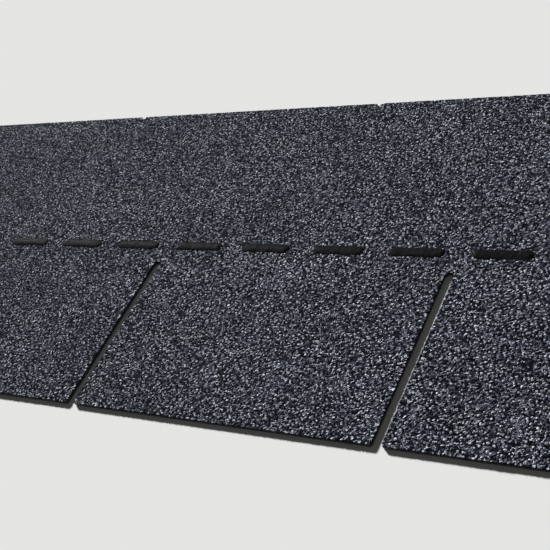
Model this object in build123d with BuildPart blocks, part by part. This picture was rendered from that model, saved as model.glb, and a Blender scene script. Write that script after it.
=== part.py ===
from build123d import *
import os

# One asphalt strip shingle with rectangular tabs, lying flat with its granule face up.
# X runs along the course, Y runs up the roof slope, Z points out of the granule face.
# The origin is the middle of the footprint, on the plane that the back rests on.

# Sheet
tab_pitch = 250.0
tab_count = 4
exposure = 135.0
headlap = 47.0
sheet_thickness = 3.2
corner_radius = 1.5
edge_break = 0.4

# Slots between the tabs: half of one is left at each end, and two shingles laid end to end make it whole
slot_width = 7.0
slot_length = 138.0

# Notches in the upper edge, one over each tab's middle, for laying the next course half a tab over
notch_depth = 3.0

# Sealant dabs on the face, above the slots
dabs_per_tab = 4
dab_length = 44.0
dab_width = 10.0
dab_height = 0.9
dab_side_taper = 50.0
seal_gap = 12.0

# Film on the back, in the groove that it presses into the coating
film_width = 28.0
film_thickness = 0.1
film_end_margin = 6.0
film_side_clearance = 0.25

strip_length = tab_count * tab_pitch
strip_height = 2 * exposure + headlap
butt_y = -strip_height / 2
top_y = strip_height / 2
seal_y = butt_y + slot_length + seal_gap + dab_width / 2
dab_pitch = tab_pitch / dabs_per_tab

slot_mouths = [(i * tab_pitch - strip_length / 2, butt_y) for i in range(tab_count + 1)]
notch_places = [((i + 0.5) * tab_pitch - strip_length / 2, top_y) for i in range(tab_count)]
dab_places = [
    ((i + 0.5) * dab_pitch - strip_length / 2, seal_y)
    for i in range(tab_count * dabs_per_tab)
]

# The shingle: a die-cut sheet with slots up from its lower edge
with BuildPart() as shingle_strip:
    with BuildSketch() as outline:
        Rectangle(strip_length, strip_height)
        with Locations(*slot_mouths):
            SlotOverall(2 * slot_length, slot_width, rotation=90, mode=Mode.SUBTRACT)
        fillet(outline.vertices().group_by(Axis.Y)[0], corner_radius)
        with Locations(*notch_places):
            Rectangle(
                notch_depth * 2**0.5, notch_depth * 2**0.5, rotation=45, mode=Mode.SUBTRACT
            )
    extrude(amount=sheet_thickness)
    face_edges = shingle_strip.faces().sort_by(Axis.Z)[-1].edges()
    chamfer(face_edges, edge_break)

    # Groove for the film, open at neither end
    with BuildSketch():
        with Locations((0, seal_y)):
            Rectangle(
                strip_length - 2 * film_end_margin + 2 * film_side_clearance,
                film_width + 2 * film_side_clearance,
            )
    extrude(amount=film_thickness, mode=Mode.SUBTRACT)

# Sealant: low beads with round ends and sloping sides, laid on the granules
with BuildPart() as seal_strip:
    with BuildSketch(Plane.XY.offset(sheet_thickness)):
        with Locations(*dab_places):
            SlotOverall(dab_length, dab_width)
    extrude(amount=dab_height, taper=dab_side_taper)

# Film, level with the back
with BuildPart() as release_tape:
    with BuildSketch():
        with Locations((0, seal_y)):
            Rectangle(strip_length - 2 * film_end_margin, film_width)
    extrude(amount=film_thickness)

os.makedirs("parts", exist_ok=True)

shingle_strip.part.label = "shingle_strip"
export_step(shingle_strip.part, "parts/shingle_strip.step")

seal_strip.part.label = "seal_strip"
export_step(seal_strip.part, "parts/seal_strip.step")

release_tape.part.label = "release_tape"
export_step(release_tape.part, "parts/release_tape.step")
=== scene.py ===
"""Dresses one four-tab asphalt strip shingle.

Granules on the face, bitumen at the cut edges, a sanded back, sealant dabs and a release film.
"""

import math

import bmesh
import bpy
import numpy as np
from bpy.props import FloatProperty, FloatVectorProperty, IntProperty, PointerProperty
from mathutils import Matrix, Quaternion, Vector
from mathutils.geometry import delaunay_2d_cdt


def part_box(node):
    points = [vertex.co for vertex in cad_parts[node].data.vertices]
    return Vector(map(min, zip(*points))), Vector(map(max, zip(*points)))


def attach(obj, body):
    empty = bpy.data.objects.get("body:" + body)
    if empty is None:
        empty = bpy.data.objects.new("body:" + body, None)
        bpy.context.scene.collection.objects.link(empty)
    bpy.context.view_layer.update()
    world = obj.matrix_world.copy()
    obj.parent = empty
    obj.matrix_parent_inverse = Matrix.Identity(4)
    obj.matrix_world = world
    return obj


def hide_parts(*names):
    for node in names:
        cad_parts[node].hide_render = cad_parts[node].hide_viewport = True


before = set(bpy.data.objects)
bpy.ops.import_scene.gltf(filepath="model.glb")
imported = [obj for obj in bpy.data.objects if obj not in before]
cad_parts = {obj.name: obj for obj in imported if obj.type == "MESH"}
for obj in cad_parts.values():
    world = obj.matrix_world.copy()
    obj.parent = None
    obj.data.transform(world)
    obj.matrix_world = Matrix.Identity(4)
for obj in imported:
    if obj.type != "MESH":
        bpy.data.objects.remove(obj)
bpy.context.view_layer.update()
SHEET_LOW, SHEET_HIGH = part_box("shingle_strip")
SEAL_LOW, SEAL_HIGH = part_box("seal_strip")
FILM_LOW, FILM_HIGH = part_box("release_tape")

bl_info = {
    "name": "Asphalt strip shingle",
    "version": (1, 0, 0),
    "blender": (4, 5, 0),
    "location": "3D View > Sidebar > Shingle",
    "description": "Builds the granules, coated mat, sealant, film and stage of one strip shingle",
    "category": "Object",
}

MM = 0.001
SHARP = math.radians(50)  # Smooth pieces keep a hard edge where their faces meet at more than this


# Sizes and colours

def length(name, description, default, soft_max=0.01):
    """A length in metres, shown in the panel as a distance."""
    return FloatProperty(
        name=name, description=description, default=default, min=0.0, soft_max=soft_max,
        subtype="DISTANCE", unit="LENGTH", precision=5,
    )


def colour(name, description, default):
    """A linear colour."""
    return FloatVectorProperty(
        name=name, description=description, default=default, size=3, min=0.0, max=1.0, subtype="COLOR",
    )


def share(name, description, default):
    """A number from 0 to 1."""
    return FloatProperty(
        name=name, description=description, default=default, min=0.0, max=1.0, subtype="FACTOR",
    )


def number(name, description, default):
    """A number of points or rows."""
    return IntProperty(name=name, description=description, default=default, min=3)


def power(name, description, default):
    """How strong a light is."""
    return FloatProperty(name=name, description=description, default=default, min=0.0)


def optic(name, description, millimetres):
    """A length inside the camera, in millimetres."""
    return FloatProperty(
        name=name, description=description, default=millimetres, min=1.0,
        subtype="DISTANCE_CAMERA", unit="CAMERA",
    )


def angle(name, description, degrees):
    """An angle, given here in degrees."""
    return FloatProperty(
        name=name, description=description, default=math.radians(degrees), subtype="ANGLE", unit="ROTATION",
    )


def seed(default):
    """A number that picks one of many random arrangements."""
    return IntProperty(name="Seed", description="Picks one random arrangement", default=default, min=0)


class GranuleSettings(bpy.types.PropertyGroup):
    """The crushed stone that is pressed into the face."""

    spacing: length("Spacing", "Distance between the middles of neighbouring granules", 1.57 * MM)
    scatter: share("Scatter", "How far the middles stray, as a share of the spacing", 0.34)
    smallest: share("Smallest", "The smallest granule's size beside the largest", 0.34)
    relief: length("Relief", "How far the tallest granule stands over the gaps", 0.62 * MM)
    stand_proud: length("Stand proud", "How far the tallest granules pass the sheet's face", 0.3 * MM)
    lean: share("Lean", "How far a granule's peak may stand off its middle, beside its half width", 0.5)
    sunken: share("Sunken", "Share of the granules that are pressed deep into the bitumen", 0.12)
    evenness: share("Evenness", "How much a granule's shade keeps away from its neighbours'", 0.55)
    broken: share("Broken", "Share of the granules that show two shades, as a broken stone does", 0.7)
    sunken_shade: share("Sunken shade", "How much of its shade a sunken granule keeps", 0.12)
    bed_depth: length("Bed depth", "How far below the face the bed is closed", 1.1 * MM)
    edge_gap: length("Edge gap", "Nearest that a granule's middle lies to a cut edge", 0.32 * MM)
    edge_wander: length("Edge wander", "How far a cut edge wanders in and out", 0.16 * MM)
    gap_fade: length("Gap fade", "How far up from the gaps the bitumen shows", 0.17 * MM)
    grit: length("Grit", "Size of the grit on a granule", 0.55 * MM)
    speckle: length("Speckle", "Size of the pits in a granule", 0.35 * MM)
    drift: length("Drift", "Size of the lighter and darker areas of the face", 90 * MM, 0.2)
    dust: length("Dust", "Size of the dusty patches", 35 * MM, 0.2)
    darkest: colour("Darkest", "Coating of the darkest granules", (0.0012, 0.0015, 0.0028))
    dark: colour("Dark", "Coating of the dark granules", (0.021, 0.0235, 0.0365))
    middle: colour("Middle", "Coating of the middle granules", (0.086, 0.093, 0.126))
    light: colour("Light", "Coating of the light granules", (0.29, 0.305, 0.385))
    palest: colour("Palest", "Bare faces of broken granules", (0.85, 0.87, 0.96))
    bitumen: colour("Bitumen", "Bitumen between the granules", (0.002, 0.0022, 0.003))
    warm: colour("Warm", "Tint of the patches where dust lies", (1.0, 0.97, 0.84))
    seed: seed(7)


class MatSettings(bpy.types.PropertyGroup):
    """The bitumen-coated glass mat under the granules."""

    top_gap: length("Top gap", "How far the coating's top lies below the face", 0.9 * MM)
    step: length("Step", "Distance between points along a cut edge", 1.5 * MM)
    roughness: length("Cut roughness", "How deep the cut edge is torn", 0.14 * MM)
    back_step: length("Back step", "Distance between points of the back", 9.0 * MM, 0.05)
    groove_gap: length("Groove gap", "How far the film's groove passes the film on every side", 0.25 * MM)
    groove_slope: length("Groove slope", "Width of the groove's sloping side", 0.1 * MM)
    sway: length("Sway", "How far the points of the cut edge stray up and down", 0.12 * MM)
    mat_height: length("Mat height", "Height of the glass mat in the cut", 1.25 * MM)
    thread: length("Thread", "Thickness of the glass mat's threads", 0.5 * MM)
    sand_grain: length("Sand grain", "Size of the sand on the back", 0.45 * MM)
    sand_patch: length("Sand patch", "Size of the patches with more or less sand", 14 * MM, 0.1)
    torn: length("Torn", "Size of the lumps of torn coating", 0.8 * MM)
    bitumen: colour("Bitumen", "Colour of the coating", (0.009, 0.0085, 0.008))
    fibre: colour("Fibre", "Colour of the glass fibres in the cut", (0.09, 0.085, 0.075))
    sand: colour("Sand", "Colour of the sand on the back", (0.16, 0.15, 0.13))
    seed: seed(11)


class SealSettings(bpy.types.PropertyGroup):
    """The sealant dabs and the film that keeps them from sticking."""

    sink: length("Sink", "How deep a dab flows in between the granules", 0.45 * MM)
    arc_points: number("Arc points", "Points round each end of a dab", 15)
    side_points: number("Side points", "Points along each side of a dab", 38)
    rings: number("Rings", "Rings from a dab's rim to its middle", 9)
    lumps: share("Lumps", "How uneven a dab's height is", 0.18)
    wobble: share("Wobble", "How uneven a dab's outline is", 0.16)
    spots: length("Spots", "Size of the dusty spots on a dab", 6 * MM, 0.05)
    skin: length("Skin", "Size of the small waves in a dab's skin", 2.0 * MM)
    sealant: colour("Sealant", "Colour of the sealant", (0.006, 0.006, 0.0066))
    dusted: colour("Dusted sealant", "Colour of the sealant where dust sticks", (0.03, 0.03, 0.029))
    film: colour("Film", "Colour of the film over the bitumen", (0.32, 0.33, 0.345))
    film_dull: colour("Dull film", "Colour of the film where it clings to the bitumen", (0.2, 0.205, 0.212))
    wrinkle: length("Wrinkle", "Height of the film's wrinkles", 0.06 * MM)
    film_step: length("Film step", "Distance between points along the film", 3.3 * MM, 0.05)
    film_rows: number("Film rows", "Rows of points across the film", 7)
    streaks: length("Streaks", "Size of the clear and the dull places of the film", 5 * MM)
    crinkle: length("Crinkle", "Size of the finest waves in the film", 3 * MM)
    seed: seed(23)


class StageSettings(bpy.types.PropertyGroup):
    """Floor, light and camera."""

    floor: colour("Floor", "Colour of the floor", (0.78, 0.78, 0.77))
    floor_size: length("Floor size", "Side of the floor", 60.0, 100.0)
    key: power("Key", "Strength of the key light", 6.79)
    key_width: angle("Key width", "Width of the key light as seen from the part", 7.0)
    key_azimuth: angle("Key azimuth", "Where the key light stands round the part, from +X", 143.0)
    key_elevation: angle("Key elevation", "Height of the key light over the floor", 25.5)
    fill: power("Fill", "Strength of the light from all round", 0.07)
    target: FloatVectorProperty(
        name="Target", description="The point of the face that the camera is aimed at",
        default=(0.115, -0.0295, SHEET_HIGH.z), size=3, subtype="TRANSLATION", unit="LENGTH",
    )
    distance: length("Distance", "From the camera to the target", 0.8, 10.0)
    azimuth: angle("Azimuth", "Where the camera stands round the part, from the tabs' side", 46.3)
    elevation: angle("Elevation", "How steeply the camera looks down", 38.4)
    roll: angle("Roll", "Tilt of the camera about its line of sight", -30.5)
    sensor: optic("Sensor", "Width of the camera's sensor", 36.0)
    lens: optic("Lens", "Focal length of the camera", 72.9)


# Shader expressions

# Places of the sockets on a Mix node, for colours, and on a Mix Shader
MIX_FACTOR, MIX_A, MIX_B, MIX_RESULT = 0, 6, 7, 2
CHOICE_FACTOR, CHOICE_A, CHOICE_B = 0, 1, 2


class Wire:
    """An output socket that Python's operators add Math nodes to."""

    def __init__(self, nodes, socket):
        self.nodes, self.socket = nodes, socket

    def maths(self, operation, *values):
        """A Math node on these numbers or wires."""
        return self.nodes.node("ShaderNodeMath", {"operation": operation}, dict(enumerate(values)))

    def __add__(self, other):
        return self.maths("ADD", self, other)

    def __mul__(self, other):
        return self.maths("MULTIPLY", self, other)

    def __sub__(self, other):
        return self.maths("SUBTRACT", self, other)

    def __rsub__(self, other):
        return self.maths("SUBTRACT", other, self)

    def __truediv__(self, other):
        return self.maths("DIVIDE", self, other)

    def __gt__(self, other):
        return self.maths("GREATER_THAN", self, other)

    __radd__, __rmul__ = __add__, __mul__

    def __abs__(self):
        return self.maths("ABSOLUTE", self)

    def clamped(self):
        """Held between 0 and 1."""
        return self.nodes.node("ShaderNodeClamp", {}, {"Value": self})

    def between(self, low, high):
        """0 at low, 1 at high, with no more past either."""
        return ((self - low) / (high - low)).clamped()


class Nodes:
    """A node tree that is filled one node at a time."""

    def __init__(self, tree):
        self.tree = tree

    def node(self, kind, settings, sockets, output=0):
        """Adds a node: its settings first, then the values or wires of its sockets."""
        made = self.tree.nodes.new(kind)
        for name, value in settings.items():
            if name == "stops":
                self.set_stops(made.color_ramp, value)
            else:
                setattr(made, name, value)
        for name, value in sockets.items():
            if isinstance(value, Wire):
                self.tree.links.new(value.socket, made.inputs[name])
            else:
                made.inputs[name].default_value = value
        return Wire(self, made.outputs[output]) if made.outputs else None

    @staticmethod
    def set_stops(ramp, stops):
        """Gives a colour ramp these (place, colour) stops."""
        while len(ramp.elements) < len(stops):
            ramp.elements.new(1.0)
        for element, (place, shade) in zip(ramp.elements, stops):
            element.position = place
            element.color = (*shade, 1.0)


class Finish(Nodes):
    """One material: its node tree and its Principled shader."""

    def __init__(self, name, **plain):
        self.material = bpy.data.materials.new(name)
        self.material.use_nodes = True
        super().__init__(self.material.node_tree)
        self.shader = self.tree.nodes["Principled BSDF"]
        for socket, value in plain.items():
            self.shader.inputs[socket.replace("_", " ")].default_value = value

    def feed(self, socket, wire):
        """Feeds one socket of the shader."""
        self.tree.links.new(wire.socket, self.shader.inputs[socket])

    def where(self):
        """The point of the surface, in the frame of the part, in metres."""
        return self.node("ShaderNodeTexCoord", {}, {}, "Object")

    def height(self):
        """How far up the point is, in metres."""
        return self.node("ShaderNodeSeparateXYZ", {}, {"Vector": self.where()}, "Z")

    def noise(self, size, detail=2.0, roughness=0.5):
        """Soft noise whose blotches are about this size in metres."""
        sockets = {"Vector": self.where(), "Scale": 1 / size, "Detail": detail, "Roughness": roughness}
        return self.node("ShaderNodeTexNoise", {}, sockets, "Fac")

    def cells(self, size, output):
        """The distance from the middles of cells of about this size in metres, or each cell's colour."""
        return self.node("ShaderNodeTexVoronoi", {}, {"Vector": self.where(), "Scale": 1 / size}, output)

    def value(self, name):
        """A number that the mesh holds for each face or point."""
        return self.node("ShaderNodeAttribute", {"attribute_name": name}, {}, "Fac")

    def ramp(self, wire, stops):
        """A colour for each value of the wire."""
        return self.node("ShaderNodeValToRGB", {"stops": stops}, {"Fac": wire}, "Color")

    def mix(self, factor, a, b, blend="MIX"):
        """Two colours, mixed."""
        a, b = (x if isinstance(x, Wire) else (*x, 1.0) for x in (a, b))
        settings = {"data_type": "RGBA", "blend_type": blend}
        return self.node("ShaderNodeMix", settings, {MIX_FACTOR: factor, MIX_A: a, MIX_B: b}, MIX_RESULT)

    def brightened(self, tint, by):
        """A colour times a number."""
        grey = self.node("ShaderNodeCombineColor", {}, {"Red": by, "Green": by, "Blue": by}, "Color")
        return self.mix(1.0, tint, grey, "MULTIPLY")

    def bump(self, height, depth, strength):
        """Relief of this depth in metres."""
        sockets = {"Height": height, "Distance": depth, "Strength": strength}
        self.feed("Normal", self.node("ShaderNodeBump", {}, sockets, "Normal"))


# Outline of the CAD sheet

BACK_HEIGHT = 0.5 * MM  # Points of the sheet below this are its back's
WALL_TILT = 0.1  # Most that the normal of a wall points up or down
DECIMALS = 7  # Points of the outline that agree to this many decimals of a metre are one


def sheet_outline():
    """The sheet's cut edge, read from its walls: a ring of points seen from above, counter-clockwise."""
    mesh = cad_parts["shingle_strip"].data
    points = np.array([v.co for v in mesh.vertices])
    near_back = points[:, 2] < BACK_HEIGHT
    after = {}
    for face in mesh.polygons:
        corners = list(face.vertices)
        low = [c for c in corners if near_back[c]]
        reach = max(points[c][2] for c in corners)
        if abs(face.normal.z) < WALL_TILT and len(low) == 2 and reach > SHEET_HIGH.z / 2:
            a, b = (tuple(np.round(points[c][:2], DECIMALS)) for c in low)
            along = np.subtract(b, a)
            if along[0] * -face.normal.y + along[1] * face.normal.x < 0:
                a, b = b, a
            after[a] = b
    ring = [next(iter(after))]
    while after[ring[-1]] != ring[0]:
        ring.append(after[ring[-1]])
    return np.array(ring)


def nearest_edge(points, ring):
    """For each point: how deep it lies inside the ring, the nearest place on the ring and the way out there.

    The depth is negative outside.
    """
    depth = np.full(len(points), np.inf)
    foot, out = np.zeros_like(points), np.zeros_like(points)
    inside = np.zeros(len(points), bool)
    for a, b in zip(ring, np.roll(ring, -1, 0)):
        along = b - a
        t = np.clip((points - a) @ along / (along @ along), 0, 1)
        place = a + t[:, None] * along
        gap = np.linalg.norm(points - place, axis=1)
        closer = gap < depth
        depth[closer], foot[closer] = gap[closer], place[closer]
        out[closer] = (along[1], -along[0]) / np.linalg.norm(along)
        if a[1] != b[1]:
            crossed = (a[1] > points[:, 1]) != (b[1] > points[:, 1])
            at = a[0] + (points[:, 1] - a[1]) * along[0] / along[1]
            inside ^= crossed & (points[:, 0] < at)
    return np.where(inside, depth, -depth), foot, out


# Meshes

def new_piece(name, points, faces, finish, smooth=False):
    """Makes a piece from points and faces, rides it on the part and gives it its finish."""
    mesh = bpy.data.meshes.new(name)
    mesh.from_pydata(points, [], faces)
    return dress(mesh, name, finish, smooth)


def dress(mesh, name, finish, smooth=False):
    """Puts a mesh in the scene as a piece of the part."""
    mesh.polygons.foreach_set("use_smooth", np.full(len(mesh.polygons), smooth))
    if smooth:
        mesh.set_sharp_from_angle(angle=SHARP)
    mesh.materials.append(finish)
    piece = bpy.data.objects.new(name, mesh)
    bpy.context.scene.collection.objects.link(piece)
    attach(piece, "root")
    return piece


def triangle_mesh(name, points, triangles):
    """A mesh of triangles straight from arrays."""
    mesh = bpy.data.meshes.new(name)
    mesh.vertices.add(len(points))
    mesh.vertices.foreach_set("co", points.astype(np.float32).ravel())
    mesh.loops.add(3 * len(triangles))
    mesh.loops.foreach_set("vertex_index", triangles.astype(np.int32).ravel())
    mesh.polygons.add(len(triangles))
    mesh.polygons.foreach_set("loop_start", np.arange(0, 3 * len(triangles), 3, dtype=np.int32))
    mesh.update(calc_edges=True)
    return mesh


def flat_cap(ring):
    """Triangles that fill a ring of points seen from above, facing up."""
    face = bpy.data.meshes.new("cap")
    face.from_pydata([(x, y, 0.0) for x, y in ring], [], [range(len(ring))])
    face.calc_loop_triangles()
    triangles = np.array([triangle.vertices[:] for triangle in face.loop_triangles])
    bpy.data.meshes.remove(face)
    return triangles


def ripples(rng, shortest, longest, waves=14):
    """A smooth random relief between about -1 and 1, made of waves of these lengths that cross each other."""
    turns, starts = rng.uniform(0, 2 * math.pi, (2, waves))
    rates = 2 * math.pi / rng.uniform(shortest, longest, waves)

    def relief(x, y):
        crossed = [
            np.sin((x * math.cos(turn) + y * math.sin(turn)) * rate + start)
            for turn, rate, start in zip(turns, rates, starts)
        ]
        return sum(crossed) / math.sqrt(2 * waves)

    return relief


def ring_loops(edges):
    """Chains directed edges into closed loops of point numbers."""
    after = dict(edges)
    loops = []
    while after:
        start, at = after.popitem()
        loop = [start]
        while at != start:
            loop.append(at)
            at = after.pop(at)
        loops.append(loop)
    return loops


# Granules

ROW_RISE = math.sin(math.radians(60))  # From row to row of the lattice, beside the spacing
FACETS = 6  # One towards each of a granule's neighbours
MARGIN = 5  # Rows and columns of the lattice past the sheet

# Heights beside the relief
GAP_HEIGHTS = (-0.14, 0.24)
RIM_LIFT = 0.3
PEAK_BASE, PEAK_SPREAD = 0.55, 0.45
SMALL_BASE, SMALL_SPREAD = 0.7, 0.3
SUNKEN_HEIGHT = 0.35

# Places up a bed's map: the top of the face, the starts of the two strips over it, and a strip's height
MAP_FACE, MAP_WALLS, MAP_UNDER, MAP_STRIP = 0.92, 0.93, 0.97, 0.03

# What makes a facet pale: its stone, its own chance, its grit and, on a few, a painted glint, a paler colour
# that stands in for a highlight
BY_STONE, BY_CHANCE, BY_GRIT = 0.8, 0.16, 0.26
PAINTED_GLINT_FROM, PAINTED_GLINT = 0.965, 0.4
TAKEN_OFF = 0.13  # Brings the average back to about a half

SLOTS_WITHIN = 0.9  # The full slots lie within this share of the sheet's half length
TOP_BAND = 0.01 * MM  # Points of a slot this near its upper end are taken for the end
SLOT_DECIMALS = 3  # Points that agree to this many decimals of a metre belong to one slot


def evened(values, push):
    """Random values on the lattice, pushed away from their six neighbours' and spread evenly from 0 to 1."""
    odd = np.arange(len(values)) % 2 == 1
    near = np.roll(values, 1, 1) + np.roll(values, -1, 1)
    for step in (1, -1):
        other = np.roll(values, step, 0)
        near += other + np.where(odd[:, None], np.roll(other, -1, 1), np.roll(other, 1, 1))
    pushed = values - push * near / FACETS
    order = np.empty(values.size)
    order[np.argsort(pushed, axis=None)] = np.linspace(0, 1, values.size)
    return order.reshape(values.shape)


class GranuleBed:
    """Every granule of the face, each a small broken stone that meets its neighbours in the gaps."""

    def __init__(self, sizes, ring):
        rng = np.random.default_rng(sizes.seed)
        step = sizes.spacing
        wide = int((SHEET_HIGH.x - SHEET_LOW.x) / step) + MARGIN
        high = int((SHEET_HIGH.y - SHEET_LOW.y) / (step * ROW_RISE)) + MARGIN
        row, column = np.mgrid[0:high, 0:wide]
        middles = np.stack([column + row % 2 / 2 - wide / 2, (row - high / 2) * ROW_RISE], -1) * step
        middles += rng.uniform(-1, 1, middles.shape) * step * sizes.scatter
        size = rng.uniform(sizes.smallest, 1, (high, wide))
        self.place_corners(middles, 1 / size)
        self.pick_cells(middles, sizes, ring, rng)
        self.set_heights(size, sizes, rng)

    def place_corners(self, middles, pull):
        """Each gap lies between three granules, nearer to the small ones. Gaps come in two kinds, by row."""
        high, wide = pull.shape
        row, column = np.mgrid[0:high - 1, 0:wide - 1]
        odd = row % 2
        kinds = [
            ((row, column), (row, column + 1), (row + 1, column + odd)),
            ((row + 1, column), (row + 1, column + 1), (row, column + 1 - odd)),
        ]
        found = []
        for trio in kinds:
            weights = [pull[at] for at in trio]
            summed = sum(w[..., None] * middles[at] for w, at in zip(weights, trio))
            found.append((summed / sum(weights)[..., None]).reshape(-1, 2))
        self.corners = np.concatenate(found)

    def pick_cells(self, middles, sizes, ring, rng):
        """Keeps the granules inside the outline, and moves the gaps on its rim onto the cut edge."""
        high, wide = middles.shape[:2]
        row, column = (x.ravel() for x in np.mgrid[1:high - 1, 1:wide - 1])
        odd = row % 2
        per_row, second = wide - 1, (high - 1) * (wide - 1)
        rings = np.stack([
            row * per_row + column,
            second + row * per_row + column - 1 + odd,
            row * per_row + column - 1,
            second + (row - 1) * per_row + column - 1,
            (row - 1) * per_row + column - 1 + odd,
            second + (row - 1) * per_row + column,
        ], 1)
        middle = middles[row, column]
        depth = nearest_edge(middle, ring)[0]
        kept = depth > sizes.edge_gap
        self.rings, self.middles, self.cell = rings[kept], middle[kept], (row[kept], column[kept])
        uses = np.bincount(self.rings.ravel(), minlength=len(self.corners))
        rim = np.flatnonzero((uses > 0) & (uses < 3))
        _, foot, out = nearest_edge(self.corners[rim], ring)
        self.corners[rim] = foot + out * rng.uniform(-1, 1, (len(rim), 1)) * sizes.edge_wander
        self.on_rim = np.isin(np.arange(len(self.corners)), rim)

    def set_heights(self, size, sizes, rng):
        """Heights of the gaps, the peak of each granule, and two numbers for each facet: shade and chance."""
        count = len(self.middles)
        low = gap_level(sizes)
        self.gaps = low + sizes.relief * rng.uniform(*GAP_HEIGHTS, len(self.corners))
        self.gaps[self.on_rim] += sizes.relief * rng.uniform(0.0, RIM_LIFT, self.on_rim.sum())
        rise = PEAK_BASE + PEAK_SPREAD * rng.random(count)
        rise = rise * (SMALL_BASE + SMALL_SPREAD * size[self.cell])
        is_sunken = rng.random(count) < sizes.sunken
        rise = np.where(is_sunken, SUNKEN_HEIGHT * rise, rise)
        turn = rng.uniform(0, 2 * math.pi, count)
        off = sizes.lean * sizes.spacing / 2 * np.sqrt(rng.random(count))
        lean = np.column_stack([np.cos(turn) * off, np.sin(turn) * off])
        self.peaks = np.column_stack([self.middles + lean, low + sizes.relief * rise])
        whole = evened(rng.random(size.shape), sizes.evenness)[self.cell]
        self.chances = rng.random((count, FACETS))
        is_broken = rng.random(count) < sizes.broken
        other_half = evened(rng.random(size.shape), sizes.evenness)[self.cell]
        self.shades = np.repeat(whole[:, None], FACETS, 1)
        self.shades[is_broken, FACETS // 2:] = other_half[is_broken, None]
        self.shades[is_sunken] *= sizes.sunken_shade

    def piece(self, name, chosen, sizes, finish):
        """One closed piece of the bed: the chosen granules, a wall round them and a flat underside."""
        rings, peaks = self.rings[chosen], self.peaks[chosen]
        used, local = np.unique(rings, return_inverse=True)
        local = local.reshape(rings.shape)
        gaps = np.column_stack([self.corners[used], self.gaps[used]])
        after = np.roll(local, -1, 1)
        tips = np.repeat(len(gaps) + np.arange(len(peaks)), FACETS)
        facets = np.column_stack([tips, local.ravel(), after.ravel()])
        far = len(gaps) + len(peaks)
        forward = set(map(tuple, np.stack([local, after], -1).reshape(-1, 2).tolist()))
        edges = [(a, b) for a, b in forward if (b, a) not in forward]
        loops = ring_loops(sorted(edges))
        rim = [n for loop in loops for n in loop]
        under = {n: far + k for k, n in enumerate(rim)}
        floor = gaps[rim].copy()
        floor[:, 2] = SHEET_HIGH.z - sizes.bed_depth
        walls, caps = [], []
        for loop in loops:
            for a, b in zip(loop, loop[1:] + loop[:1]):
                walls += [(a, under[a], under[b]), (a, under[b], b)]
            below = np.array([under[n] for n in loop])
            caps.append(below[flat_cap(gaps[loop, :2])][:, ::-1])
        points = np.concatenate([gaps, peaks, floor])
        triangles = np.concatenate([facets, np.array(walls), *caps])
        mesh = triangle_mesh(name, points, triangles)
        self.write_shades(mesh, chosen, len(triangles) - len(facets))
        self.write_map(mesh, points, triangles, len(facets), len(walls))
        return dress(mesh, name, finish)

    def write_shades(self, mesh, chosen, others):
        """Writes each facet's shade and chance. Both are 0 on the walls and the underside."""
        for name, values in (("shade", self.shades), ("chance", self.chances)):
            numbers = np.concatenate([values[chosen].ravel(), np.zeros(others)])
            layer = mesh.attributes.new(name, "FLOAT", "FACE")
            layer.data.foreach_set("value", numbers.astype(np.float32))

    @staticmethod
    def write_map(mesh, points, triangles, tops, walls):
        """Maps the face as seen from above, with the walls in a strip over it and the underside over them."""
        flat = points[triangles.ravel()]
        low, size = points.min(0), np.ptp(points, axis=0)
        uv = (flat[:, :2] - low[:2]) / size[:2]
        corner = np.repeat(np.arange(len(triangles)), 3)
        is_wall = (corner >= tops) & (corner < tops + walls)
        is_under = corner >= tops + walls
        turn = np.arctan2(flat[:, 1] - low[1] - size[1] / 2, flat[:, 0] - low[0] - size[0] / 2)
        rise = (flat[:, 2] - low[2]) / size[2]
        u = np.where(is_wall, 0.5 + turn / (2 * math.pi), uv[:, 0])
        v = np.where(is_under, MAP_UNDER + MAP_STRIP * uv[:, 1], MAP_FACE * uv[:, 1])
        v = np.where(is_wall, MAP_WALLS + MAP_STRIP * rise, v)
        layer = mesh.uv_layers.new(name="OFBake")
        layer.uv.foreach_set("vector", np.column_stack([u, v]).astype(np.float32).ravel())


def gap_level(sizes):
    """The height from which the granules' relief is counted."""
    return SHEET_HIGH.z + sizes.stand_proud - sizes.relief


def granule_finish(sizes):
    """Ceramic-coated crushed stone, from near black to pale grey, with bitumen in the gaps and a painted
    glint on a few facets.
    """
    finish = Finish("granules", Specular_IOR_Level=0.01)
    coatings = [
        (0.08, sizes.darkest),
        (0.36, sizes.dark),
        (0.58, sizes.middle),
        (0.78, sizes.light),
        (0.94, sizes.palest),
    ]
    grit = finish.node("ShaderNodeSeparateColor", {}, {"Color": finish.cells(sizes.grit, "Color")}, "Red")
    chance = finish.value("chance")
    # Painted glint: a few facets get a paler colour that stands in for a highlight
    painted_glint = (chance > PAINTED_GLINT_FROM) * PAINTED_GLINT
    shade = finish.value("shade") * BY_STONE + chance * BY_CHANCE + grit * BY_GRIT + painted_glint
    stone = finish.ramp((shade - TAKEN_OFF).clamped(), coatings)
    drift = finish.noise(sizes.drift).between(0.35, 0.7)
    dust = finish.noise(sizes.dust, 3.0).between(0.5, 0.75) * 0.6
    tinted = finish.mix(dust, stone, finish.mix(1.0, stone, sizes.warm, "MULTIPLY"))
    toned = finish.brightened(tinted, 0.88 + drift * 0.22)
    low = gap_level(sizes)
    gap = 1 - finish.height().between(low, low + sizes.gap_fade)
    finish.feed("Base Color", finish.mix(gap * 0.95, toned, sizes.bitumen))
    finish.feed("Roughness", (0.55 + chance * 0.35).clamped())
    finish.bump(finish.noise(sizes.speckle) + grit * 0.5, depth=0.12 * MM, strength=0.8)
    return finish.material


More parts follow.
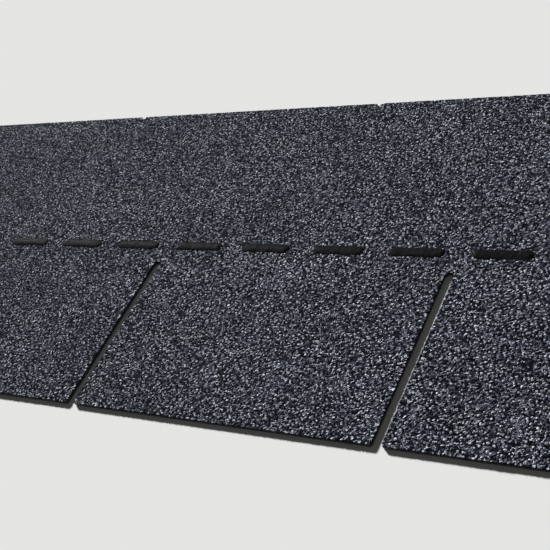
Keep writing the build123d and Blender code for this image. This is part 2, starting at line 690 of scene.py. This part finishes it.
class SHINGLE_OT_granules(bpy.types.Operator):
    """Lay the granules on the tabs and on the covered band"""

    bl_idname = "shingle.granules"
    bl_label = "Granules"

    def execute(self, context):
        sizes = context.scene.shingle_granules
        ring = sheet_outline()
        bed = GranuleBed(sizes, ring)
        finish = granule_finish(sizes)
        tabs = slot_places(ring)
        x, y = bed.middles.T
        column = np.searchsorted(tabs, x)
        on_tab = y < slot_end(ring)
        for kind, chosen in (("tab", on_tab), ("lap", ~on_tab)):
            for k in range(len(tabs) + 1):
                bed.piece(f"granules_{kind}_{k + 1}", chosen & (column == k), sizes, finish)
        return {"FINISHED"}


def full_slots(ring):
    """The points of the outline's lower half, without those near the ends, where the half slots are."""
    return ring[(ring[:, 1] < 0) & (np.abs(ring[:, 0]) < SLOTS_WITHIN * SHEET_HIGH.x)]


def slot_end(ring):
    """How far up the slots reach."""
    return full_slots(ring)[:, 1].max()


def slot_places(ring):
    """The middles of the full slots, from left to right, from the points at their upper ends."""
    points = full_slots(ring)
    ends = points[points[:, 1] > slot_end(ring) - TOP_BAND]
    return np.unique(np.round(ends[:, 0], SLOT_DECIMALS))


# Coated mat

# The cut edge from the back up: heights beside the coating's, and how far each lies in from the outline
CUT_LEVELS = (0.0, 0.12, 0.4, 0.7, 1.0)
CUT_INSETS = (0.25 * MM, 0.1 * MM, 0.0, 0.05 * MM, 0.1 * MM)

# Nearest that the points within the back lie to the cut edge and to the groove, beside their step
CLEAR_OF_EDGE, CLEAR_OF_GROOVE = 1 / 3, 1 / 4
EVERY = 4  # One in so many points of the cut edge is enough to tell how near it is
SANDED_TO = (0.12 * MM, 0.3 * MM)  # Between these heights the sand of the back ends
THREADS_TO = (0.15 * MM, 0.5 * MM)  # Between these distances from the glass mat its threads end
TINY = 1e-9  # Shorter than this counts as nothing


def fine_ring(ring, step):
    """The ring with points added along its long stretches."""
    made = []
    for a, b in zip(ring, np.roll(ring, -1, 0)):
        parts = max(1, round(np.linalg.norm(b - a) / step))
        made += [a + (b - a) * k / parts for k in range(parts)]
    return np.array(made)


def outward(ring):
    """The direction out of the sheet at each point of a ring."""
    along = np.roll(ring, -1, 0) - np.roll(ring, 1, 0)
    out = np.column_stack([along[:, 1], -along[:, 0]])
    return out / np.maximum(np.linalg.norm(out, axis=1), TINY)[:, None]


def mat_finish(sizes):
    """Bitumen coating: torn and fibrous at the cut, sanded on the back."""
    finish = Finish("coated_mat", IOR=1.5)
    height = finish.height()
    back = 1 - height.between(*SANDED_TO)
    in_mat = 1 - abs(height - sizes.mat_height).between(*THREADS_TO)
    threads = finish.noise(sizes.thread, 3.0, 0.7).between(0.5, 0.62) * in_mat
    cut = finish.mix(threads * 0.75, sizes.bitumen, sizes.fibre)
    grains = finish.cells(sizes.sand_grain, "Distance").between(0.45, 0.2)
    thick = finish.noise(sizes.sand_patch, 4.0).between(0.3, 0.6)
    sanded = finish.mix(grains * (0.35 + thick * 0.55), sizes.bitumen, sizes.sand)
    finish.feed("Base Color", finish.mix(back, cut, sanded))
    finish.feed("Roughness", (0.42 + threads * 0.3 + back * 0.35).clamped())
    relief = finish.noise(sizes.torn, 4.0, 0.65) + grains * back * 0.6
    finish.bump(relief, depth=0.25 * MM, strength=0.9)
    return finish.material


class SHINGLE_OT_mat(bpy.types.Operator):
    """Make the bitumen-coated mat that carries the granules"""

    bl_idname = "shingle.mat"
    bl_label = "Coated mat"

    def execute(self, context):
        sizes = context.scene.shingle_mat
        rng = np.random.default_rng(sizes.seed)
        ring = fine_ring(sheet_outline(), sizes.step)
        out = outward(ring)
        count = len(ring)
        top = SHEET_HIGH.z - sizes.top_gap
        points = []
        for level, inset in zip(CUT_LEVELS, CUT_INSETS):
            pull = inset + rng.random(count) * sizes.roughness
            sway = sizes.sway * (0 < level < 1)
            rise = level * top + rng.uniform(-1, 1, count) * sway
            points.append(np.column_stack([ring - out * pull[:, None], rise]))
        points = np.concatenate(points)
        here = np.arange(count)
        after = (here + 1) % count
        walls = []
        for k in range(len(CUT_LEVELS) - 1):
            low, high = k * count, (k + 1) * count
            walls.append(np.column_stack([low + here, low + after, high + after]))
            walls.append(np.column_stack([low + here, high + after, high + here]))
        brink = fine_ring(film_outline(sizes.groove_gap), sizes.back_step)
        foot = fine_ring(film_outline(sizes.groove_gap - sizes.groove_slope), sizes.back_step)
        under, extra = filled([points[:count, :2], brink, foot], sizes.back_step)
        first = len(points)
        numbers = np.concatenate([here, first + np.arange(len(extra))])
        back = numbers[under][:, ::-1]
        is_groove = nearest_edge(extra, foot)[0] > -sizes.groove_slope / 2
        upper = (len(CUT_LEVELS) - 1) * count
        caps = [back, flat_cap(points[upper:, :2]) + upper]
        points = np.concatenate([points, np.column_stack([extra, is_groove * FILM_HIGH.z])])
        mesh = triangle_mesh("coated_mat", points, np.concatenate(walls + caps))
        mat = dress(mesh, "coated_mat", mat_finish(sizes))
        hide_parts("shingle_strip")
        return {"FINISHED"}


def film_outline(margin):
    """The corners of the film, grown by a margin, counter-clockwise."""
    low_x, high_x = FILM_LOW.x - margin, FILM_HIGH.x + margin
    low_y, high_y = FILM_LOW.y - margin, FILM_HIGH.y + margin
    return np.array([(low_x, low_y), (high_x, low_y), (high_x, high_y), (low_x, high_y)])


def filled(rings, step):
    """Triangles that fill the first ring and keep the edges of all, and the points added inside it.

    Those are the points of the other rings and a lattice.
    """
    x = np.arange(SHEET_LOW.x + step, SHEET_HIGH.x, step)
    y = np.arange(SHEET_LOW.y + step, SHEET_HIGH.y, step)
    lattice = np.stack(np.meshgrid(x, y), -1).reshape(-1, 2)
    lattice = lattice[nearest_edge(lattice, rings[0][::EVERY])[0] > step * CLEAR_OF_EDGE]
    for ring in rings[1:]:
        lattice = lattice[np.abs(nearest_edge(lattice, ring)[0]) > step * CLEAR_OF_GROOVE]
    extra = np.concatenate([*rings[1:], lattice])
    places = np.concatenate([rings[0], extra])
    edges, first = [], 0
    for ring in rings:
        edges += [(first + k, first + (k + 1) % len(ring)) for k in range(len(ring))]
        first += len(ring)
    made = delaunay_2d_cdt([Vector(p) for p in places], edges, [], 1, TINY)
    faces, origins = made[2], made[3]
    return np.array([[origins[n][0] for n in face] for face in faces]), extra


# Sealant

APART = 0.1 * MM  # Solids of a node further apart than this are told from each other
RIM_WAVES = (4 * MM, 15 * MM)  # Shortest and longest
LUMP_WAVES = (4 * MM, 14 * MM, 40)  # Shortest, longest and how many
RING_CROWDING = 1.6  # More than 1 crowds a dab's rings towards its rim
DOME_POWER = 0.6  # 0.5 makes a dab's section half an ellipse, and more slopes its sides
TOUCHING = 0.0001 * MM  # Points nearer than this are one


def runs_along_x(node):
    """The stretches along X that a node's solids cover, one for each solid."""
    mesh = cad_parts[node].data
    spans = []
    for face in mesh.polygons:
        along = [mesh.vertices[n].co.x for n in face.vertices]
        spans.append((min(along), max(along)))
    spans.sort()
    runs = [list(spans[0])]
    for low, high in spans[1:]:
        if low > runs[-1][1] + APART:
            runs.append([low, high])
        else:
            runs[-1][1] = max(runs[-1][1], high)
    return runs


def seal_finish(sizes):
    """Sealant: black and nearly matt, with a few dusty spots."""
    finish = Finish("sealant", Specular_IOR_Level=0.005)
    dusty = finish.noise(sizes.spots, 4.0).between(0.55, 0.75)
    finish.feed("Base Color", finish.mix(dusty * 0.5, sizes.sealant, sizes.dusted))
    finish.feed("Roughness", (0.52 + dusty * 0.3).clamped())
    finish.bump(finish.noise(sizes.skin), depth=0.4 * MM, strength=0.6)
    return finish.material


def round_a_dab(straight, arc_points, side_points):
    """For each point round a dab: where on the dab's spine it starts, and which way it lies from there."""
    arc = np.linspace(-math.pi / 2, math.pi / 2, arc_points)
    side = np.linspace(straight, -straight, side_points + 2)[1:-1]
    end, up = np.full(arc_points, straight), np.full(side_points, math.pi / 2)
    start = np.concatenate([end, side, -end, -side])
    turn = np.concatenate([arc, up, arc + math.pi, -up])
    return start, np.cos(turn), np.sin(turn)


class SHINGLE_OT_sealant(bpy.types.Operator):
    """Lay the sealant dabs above the slots"""

    bl_idname = "shingle.sealant"
    bl_label = "Sealant"

    def execute(self, context):
        sizes = context.scene.shingle_seal
        rng = np.random.default_rng(sizes.seed)
        rim = ripples(rng, *RIM_WAVES)
        lumps = ripples(rng, *LUMP_WAVES)
        width, rise = SEAL_HIGH.y - SEAL_LOW.y, SEAL_HIGH.z - SEAL_LOW.z
        middle_y = (SEAL_LOW.y + SEAL_HIGH.y) / 2
        inwards = np.linspace(0, 1, sizes.rings) ** RING_CROWDING
        points, faces = [], []
        for low, high in runs_along_x("seal_strip"):
            start, along, across = round_a_dab((high - low - width) / 2, sizes.arc_points, sizes.side_points)
            start = start + (low + high) / 2
            uneven = (1 + rim(start + along * width, middle_y + across * width)) / 2
            reach = width / 2 * (1 - sizes.wobble * uneven)
            first, count = len(points), len(start)
            for inward in inwards:
                x = start + along * reach * (1 - inward)
                y = middle_y + across * reach * (1 - inward)
                dome = (1 - (1 - inward) ** 2) ** DOME_POWER
                kept = 1 - sizes.lumps * (1 + lumps(x, y)) / 2
                z = SEAL_LOW.z - sizes.sink + (rise + sizes.sink) * dome * kept
                points += list(zip(x, y, np.minimum(z, SEAL_HIGH.z)))
            for ring in range(sizes.rings - 1):
                outer, inner = first + ring * count, first + (ring + 1) * count
                for k in range(count):
                    n = (k + 1) % count
                    faces.append((outer + k, outer + n, inner + n, inner + k))
            faces.append(tuple(first + k for k in reversed(range(count))))
        dabs = new_piece("sealant_dabs", points, faces, seal_finish(sizes), smooth=True)
        close_up(dabs)
        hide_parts("seal_strip")
        return {"FINISHED"}


def close_up(piece):
    """Merges points that coincide and turns every face outwards."""
    made = bmesh.new()
    made.from_mesh(piece.data)
    bmesh.ops.remove_doubles(made, verts=made.verts, dist=TOUCHING)
    bmesh.ops.recalc_face_normals(made, faces=made.faces)
    made.to_mesh(piece.data)
    made.free()


# Release film

WRINKLE_WAVES = (6 * MM, 30 * MM)  # Shortest and longest


def film_finish(sizes):
    """A thin clear film over bitumen, which reads as a smooth grey band."""
    finish = Finish("release_film", IOR=1.5, Coat_Roughness=0.08)
    streaks = finish.noise(sizes.streaks, 3.0)
    finish.feed("Base Color", finish.mix(streaks, sizes.film_dull, sizes.film))
    finish.feed("Roughness", (0.16 + streaks * 0.16).clamped())
    finish.feed("Coat Weight", (0.4 + streaks * 0.4).clamped())
    finish.bump(finish.noise(sizes.crinkle), depth=0.1 * MM, strength=0.5)
    return finish.material


class SHINGLE_OT_film(bpy.types.Operator):
    """Lay the release film in its groove on the back"""

    bl_idname = "shingle.film"
    bl_label = "Release film"

    def execute(self, context):
        sizes = context.scene.shingle_seal
        rng = np.random.default_rng(sizes.seed + 1)
        wrinkles = ripples(rng, *WRINKLE_WAVES)
        columns = int((FILM_HIGH.x - FILM_LOW.x) / sizes.film_step) + 1
        rows = sizes.film_rows
        x = np.linspace(FILM_LOW.x, FILM_HIGH.x, columns)
        y = np.linspace(FILM_LOW.y, FILM_HIGH.y, rows)
        grid_x, grid_y = np.meshgrid(x, y)
        crease = np.clip(0.5 + wrinkles(grid_x, grid_y) / 2, 0, 1) * sizes.wrinkle
        low = np.stack([grid_x, grid_y, FILM_LOW.z + crease], -1).reshape(-1, 3)
        high = np.stack([grid_x, grid_y, np.full_like(grid_x, FILM_HIGH.z)], -1).reshape(-1, 3)
        points = np.concatenate([low, high])
        size = rows * columns
        faces = []
        for r in range(rows - 1):
            for c in range(columns - 1):
                a = r * columns + c
                quad = (a, a + 1, a + columns + 1, a + columns)
                faces.append(tuple(reversed(quad)))
                faces.append(tuple(size + n for n in quad))
        edge = [r * columns + c for r, c in border(rows, columns)]
        for a, b in zip(edge, edge[1:] + edge[:1]):
            faces.append((a, b, size + b, size + a))
        finish = film_finish(sizes)
        film = new_piece("release_film", points.tolist(), faces, finish, smooth=True)
        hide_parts("release_tape")
        return {"FINISHED"}


def border(rows, columns):
    """The rows and columns round a grid's border, counter-clockwise."""
    return (
        [(0, c) for c in range(columns - 1)]
        + [(r, columns - 1) for r in range(rows - 1)]
        + [(rows - 1, c) for c in range(columns - 1, 0, -1)]
        + [(r, 0) for r in range(rows - 1, 0, -1)]
    )


# Stage

WHITE = (1.0, 1.0, 1.0, 1.0)


def towards(azimuth, elevation):
    """A direction from its azimuth round from +X and its height over the floor."""
    level = math.cos(elevation)
    return Vector((math.cos(azimuth) * level, math.sin(azimuth) * level, math.sin(elevation)))


def backdrop(settings):
    """A world that lights the part evenly and looks like the floor behind it."""
    world = bpy.data.worlds.new("surround")
    bpy.context.scene.world = world
    world.use_nodes = True
    world.node_tree.nodes.clear()
    sky = Nodes(world.node_tree)
    rays = ("Is Camera Ray", "Is Glossy Ray", "Is Transmission Ray")
    camera, glossy, through = (sky.node("ShaderNodeLightPath", {}, {}, ray) for ray in rays)
    light = sky.node("ShaderNodeBackground", {}, {"Color": WHITE, "Strength": settings.fill})
    seen = sky.node("ShaderNodeBackground", {}, {"Color": (*settings.floor, 1.0), "Strength": 1.0})
    sockets = {CHOICE_FACTOR: camera + glossy + through, CHOICE_A: light, CHOICE_B: seen}
    choice = sky.node("ShaderNodeMixShader", {}, sockets)
    sky.node("ShaderNodeOutputWorld", {}, {"Surface": choice})


class SHINGLE_OT_stage(bpy.types.Operator):
    """Set the floor, the light and the camera"""

    bl_idname = "shingle.stage"
    bl_label = "Stage"

    def execute(self, context):
        scene, settings = context.scene, context.scene.shingle_stage
        scene.view_settings.view_transform = "Standard"
        backdrop(settings)
        half = settings.floor_size / 2
        corners = [(-half, -half, 0), (half, -half, 0), (half, half, 0), (-half, half, 0)]
        mesh = bpy.data.meshes.new("floor")
        mesh.from_pydata(corners, [], [range(4)])
        paint = Finish("floor", Roughness=0.9, Base_Color=(*settings.floor, 1.0), Specular_IOR_Level=0.0)
        mesh.materials.append(paint.material)
        floor = bpy.data.objects.new("floor", mesh)
        scene.collection.objects.link(floor)
        lamp = bpy.data.lights.new("key", "SUN")
        lamp.energy, lamp.angle = settings.key, settings.key_width
        key = bpy.data.objects.new("key", lamp)
        shine = -towards(settings.key_azimuth, settings.key_elevation)
        key.rotation_mode = "QUATERNION"
        key.rotation_quaternion = shine.to_track_quat("-Z", "Y")
        scene.collection.objects.link(key)
        back = towards(settings.azimuth - math.pi / 2, settings.elevation)
        view = bpy.data.cameras.new("camera")
        view.sensor_width, view.lens = settings.sensor, settings.lens
        camera = bpy.data.objects.new("camera", view)
        camera.location = Vector(settings.target) + back * settings.distance
        camera.rotation_mode = "QUATERNION"
        turn = Quaternion((0, 0, 1), settings.roll)
        camera.rotation_quaternion = (-back).to_track_quat("-Z", "Y") @ turn
        scene.collection.objects.link(camera)
        scene.camera = camera
        return {"FINISHED"}


class SHINGLE_PT_panel(bpy.types.Panel):
    """Lists the steps that build the shingle"""

    bl_idname = "SHINGLE_PT_panel"
    bl_label = "Strip shingle"
    bl_space_type = "VIEW_3D"
    bl_region_type = "UI"
    bl_category = "Shingle"

    def draw(self, context):
        for step in STEPS:
            self.layout.operator(step.bl_idname)


GROUPS = {
    "shingle_stage": StageSettings,
    "shingle_granules": GranuleSettings,
    "shingle_mat": MatSettings,
    "shingle_seal": SealSettings,
}
STEPS = (SHINGLE_OT_stage, SHINGLE_OT_granules, SHINGLE_OT_mat, SHINGLE_OT_sealant, SHINGLE_OT_film)


def register():
    """Adds the settings, the steps and the panel."""
    for name, group in GROUPS.items():
        bpy.utils.register_class(group)
        setattr(bpy.types.Scene, name, PointerProperty(type=group))
    for part in (*STEPS, SHINGLE_PT_panel):
        bpy.utils.register_class(part)


def unregister():
    """Takes the panel, the steps and the settings away."""
    for part in (SHINGLE_PT_panel, *reversed(STEPS)):
        bpy.utils.unregister_class(part)
    for name, group in reversed(GROUPS.items()):
        delattr(bpy.types.Scene, name)
        bpy.utils.unregister_class(group)


def main():
    """Builds the stage and every piece."""
    register()
    bpy.ops.shingle.stage()
    bpy.ops.shingle.granules()
    bpy.ops.shingle.mat()
    bpy.ops.shingle.sealant()
    bpy.ops.shingle.film()


if __name__ == "__main__":
    main()
